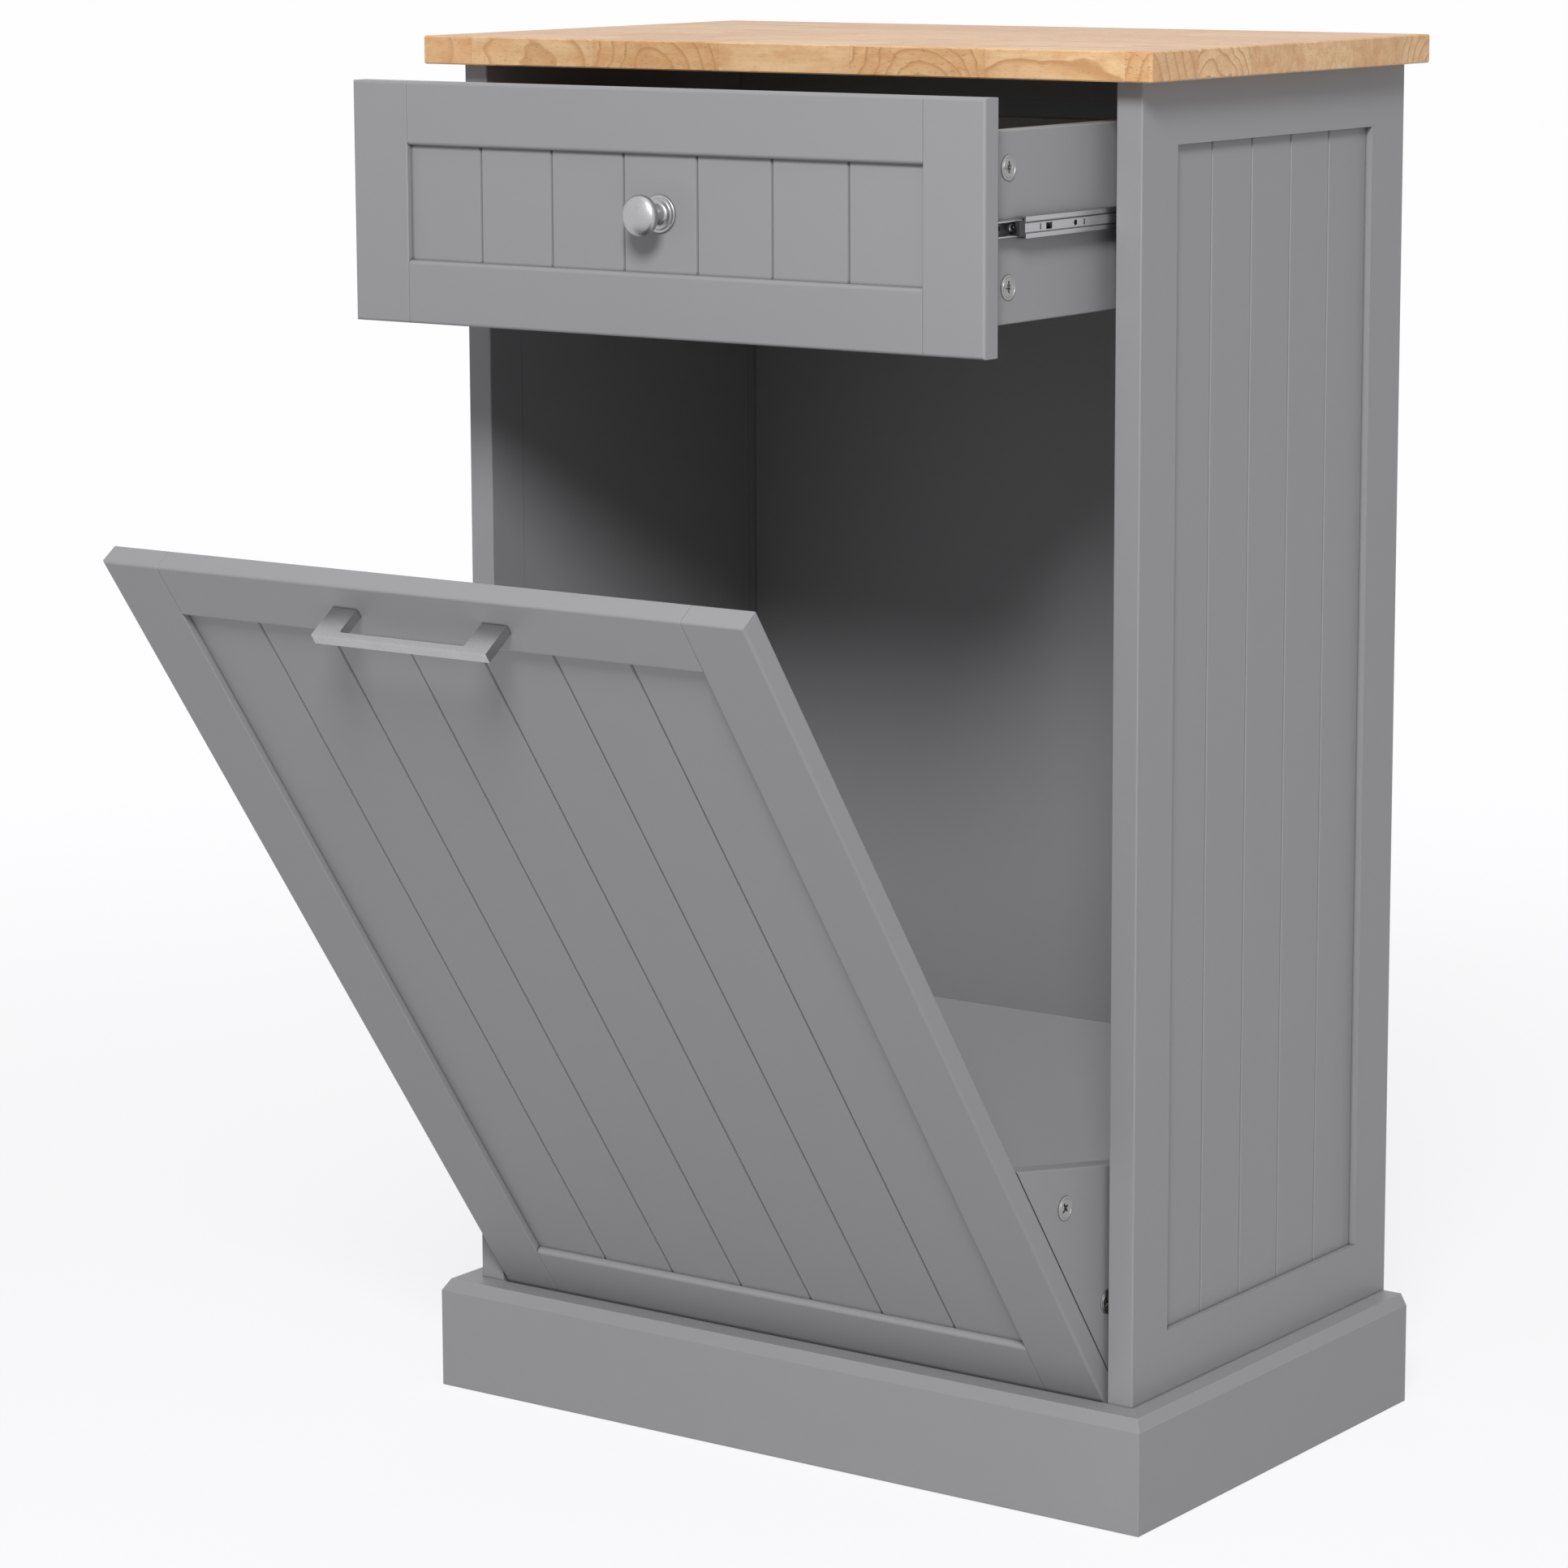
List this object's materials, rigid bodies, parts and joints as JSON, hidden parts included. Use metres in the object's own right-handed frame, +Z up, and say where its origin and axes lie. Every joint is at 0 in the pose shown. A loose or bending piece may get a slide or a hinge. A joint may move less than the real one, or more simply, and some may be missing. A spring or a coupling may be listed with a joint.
{
  "type": "tilt-out trash cabinet",
  "caption": "Free-standing kitchen cabinet with a tilt-out door that carries a waste bin tray, a shallow drawer above it, grooved panels and a wooden worktop.",
  "frame": {"origin": "on the floor, in the middle of the underside of the front plinth board", "axes": "+X to the right seen from the front, +Y to the back, +Z up; the front faces -Y"},
  "size_m": [0.548, 0.7007, 0.9],
  "materials": {
    "grey_paint": "satin grey paint over wood",
    "worktop_wood": "clear satin lacquer",
    "plywood": "painted thin board",
    "zinc_plate": "bright zinc plate",
    "satin_nickel": "satin nickel",
    "black_plastic": "moulded",
    "white_plastic": "moulded",
    "cam_metal": "die cast zinc alloy",
    "beech_dowel": "bare beech"
  },
  "bodies": {
    "cabinet": {"back_panel": "grey_paint", "cabinet_slide_screws": "zinc_plate", "carcass_cam_bolts": "zinc_plate", "carcass_cam_locks": "cam_metal", "carcass_dowels": "beech_dowel", "door_stop_pegs": "white_plastic", "floor_panel": "grey_paint", "front_plinth": "grey_paint", "left_side_frame": "grey_paint", "left_side_panel": "grey_paint", "left_side_plinth": "grey_paint", "left_slide_outer": "zinc_plate", "pivot_bushes": "white_plastic", "plinth_screws": "zinc_plate", "rear_top_rail": "grey_paint", "right_side_frame": "grey_paint", "right_side_panel": "grey_paint", "right_side_plinth": "grey_paint", "right_slide_outer": "zinc_plate", "worktop": "worktop_wood"},
    "slide_middles": {"left_slide_middle": "zinc_plate", "right_slide_middle": "zinc_plate", "slide_bumpers": "black_plastic"},
    "drawer": {"drawer_back": "grey_paint", "drawer_bottom": "plywood", "drawer_bottom_rail": "grey_paint", "drawer_box_screws": "zinc_plate", "drawer_cam_bolts": "zinc_plate", "drawer_cam_locks": "cam_metal", "drawer_front_panel": "grey_paint", "drawer_knob": "satin_nickel", "drawer_slide_screws": "zinc_plate", "drawer_top_rail": "grey_paint", "knob_screw": "zinc_plate", "left_drawer_side": "grey_paint", "left_drawer_stile": "grey_paint", "left_slide_inner": "zinc_plate", "right_drawer_side": "grey_paint", "right_drawer_stile": "grey_paint", "right_slide_inner": "zinc_plate"},
    "door": {"door_bottom_rail": "grey_paint", "door_handle": "satin_nickel", "door_panel": "grey_paint", "door_top_rail": "grey_paint", "handle_screws": "zinc_plate", "left_door_stile": "grey_paint", "left_tray_side": "grey_paint", "pivot_pins": "zinc_plate", "right_door_stile": "grey_paint", "right_tray_side": "grey_paint", "tray_cam_bolts": "zinc_plate", "tray_cam_locks": "cam_metal", "tray_floor": "grey_paint", "tray_screws": "zinc_plate"},
    "outer_ball_cages": {"outer_ball_cages": "zinc_plate"},
    "inner_ball_cages": {"inner_ball_cages": "zinc_plate"}
  },
  "joints": [
    {"name": "door_tilt", "type": "hinge", "parent": "cabinet", "child": "door", "pos_m": [0, 0.019, 0.0758], "axis": [1, 0, 0], "range_deg": [-35.2, 0]},
    {"name": "slide_middle", "type": "slide", "parent": "cabinet", "child": "slide_middles", "axis": [0, -1, 0], "range_m": [-0.1178, 0.0072]},
    {"name": "drawer_slide", "type": "slide", "parent": "slide_middles", "child": "drawer", "axis": [0, -1, 0], "range_m": [-0.0194, 0.1056]},
    {"name": "outer_cage_slide", "type": "slide", "parent": "cabinet", "child": "outer_ball_cages", "axis": [0, -1, 0], "range_m": [-0.059, 0.0037]},
    {"name": "inner_cage_slide", "type": "slide", "parent": "slide_middles", "child": "inner_ball_cages", "axis": [0, -1, 0], "range_m": [-0.0098, 0.0529]}
  ],
  "couplings": [
    {"joint": "outer_cage_slide", "follows": "slide_middle", "ratio": 0.5},
    {"joint": "inner_cage_slide", "follows": "drawer_slide", "ratio": 0.5}
  ]
}
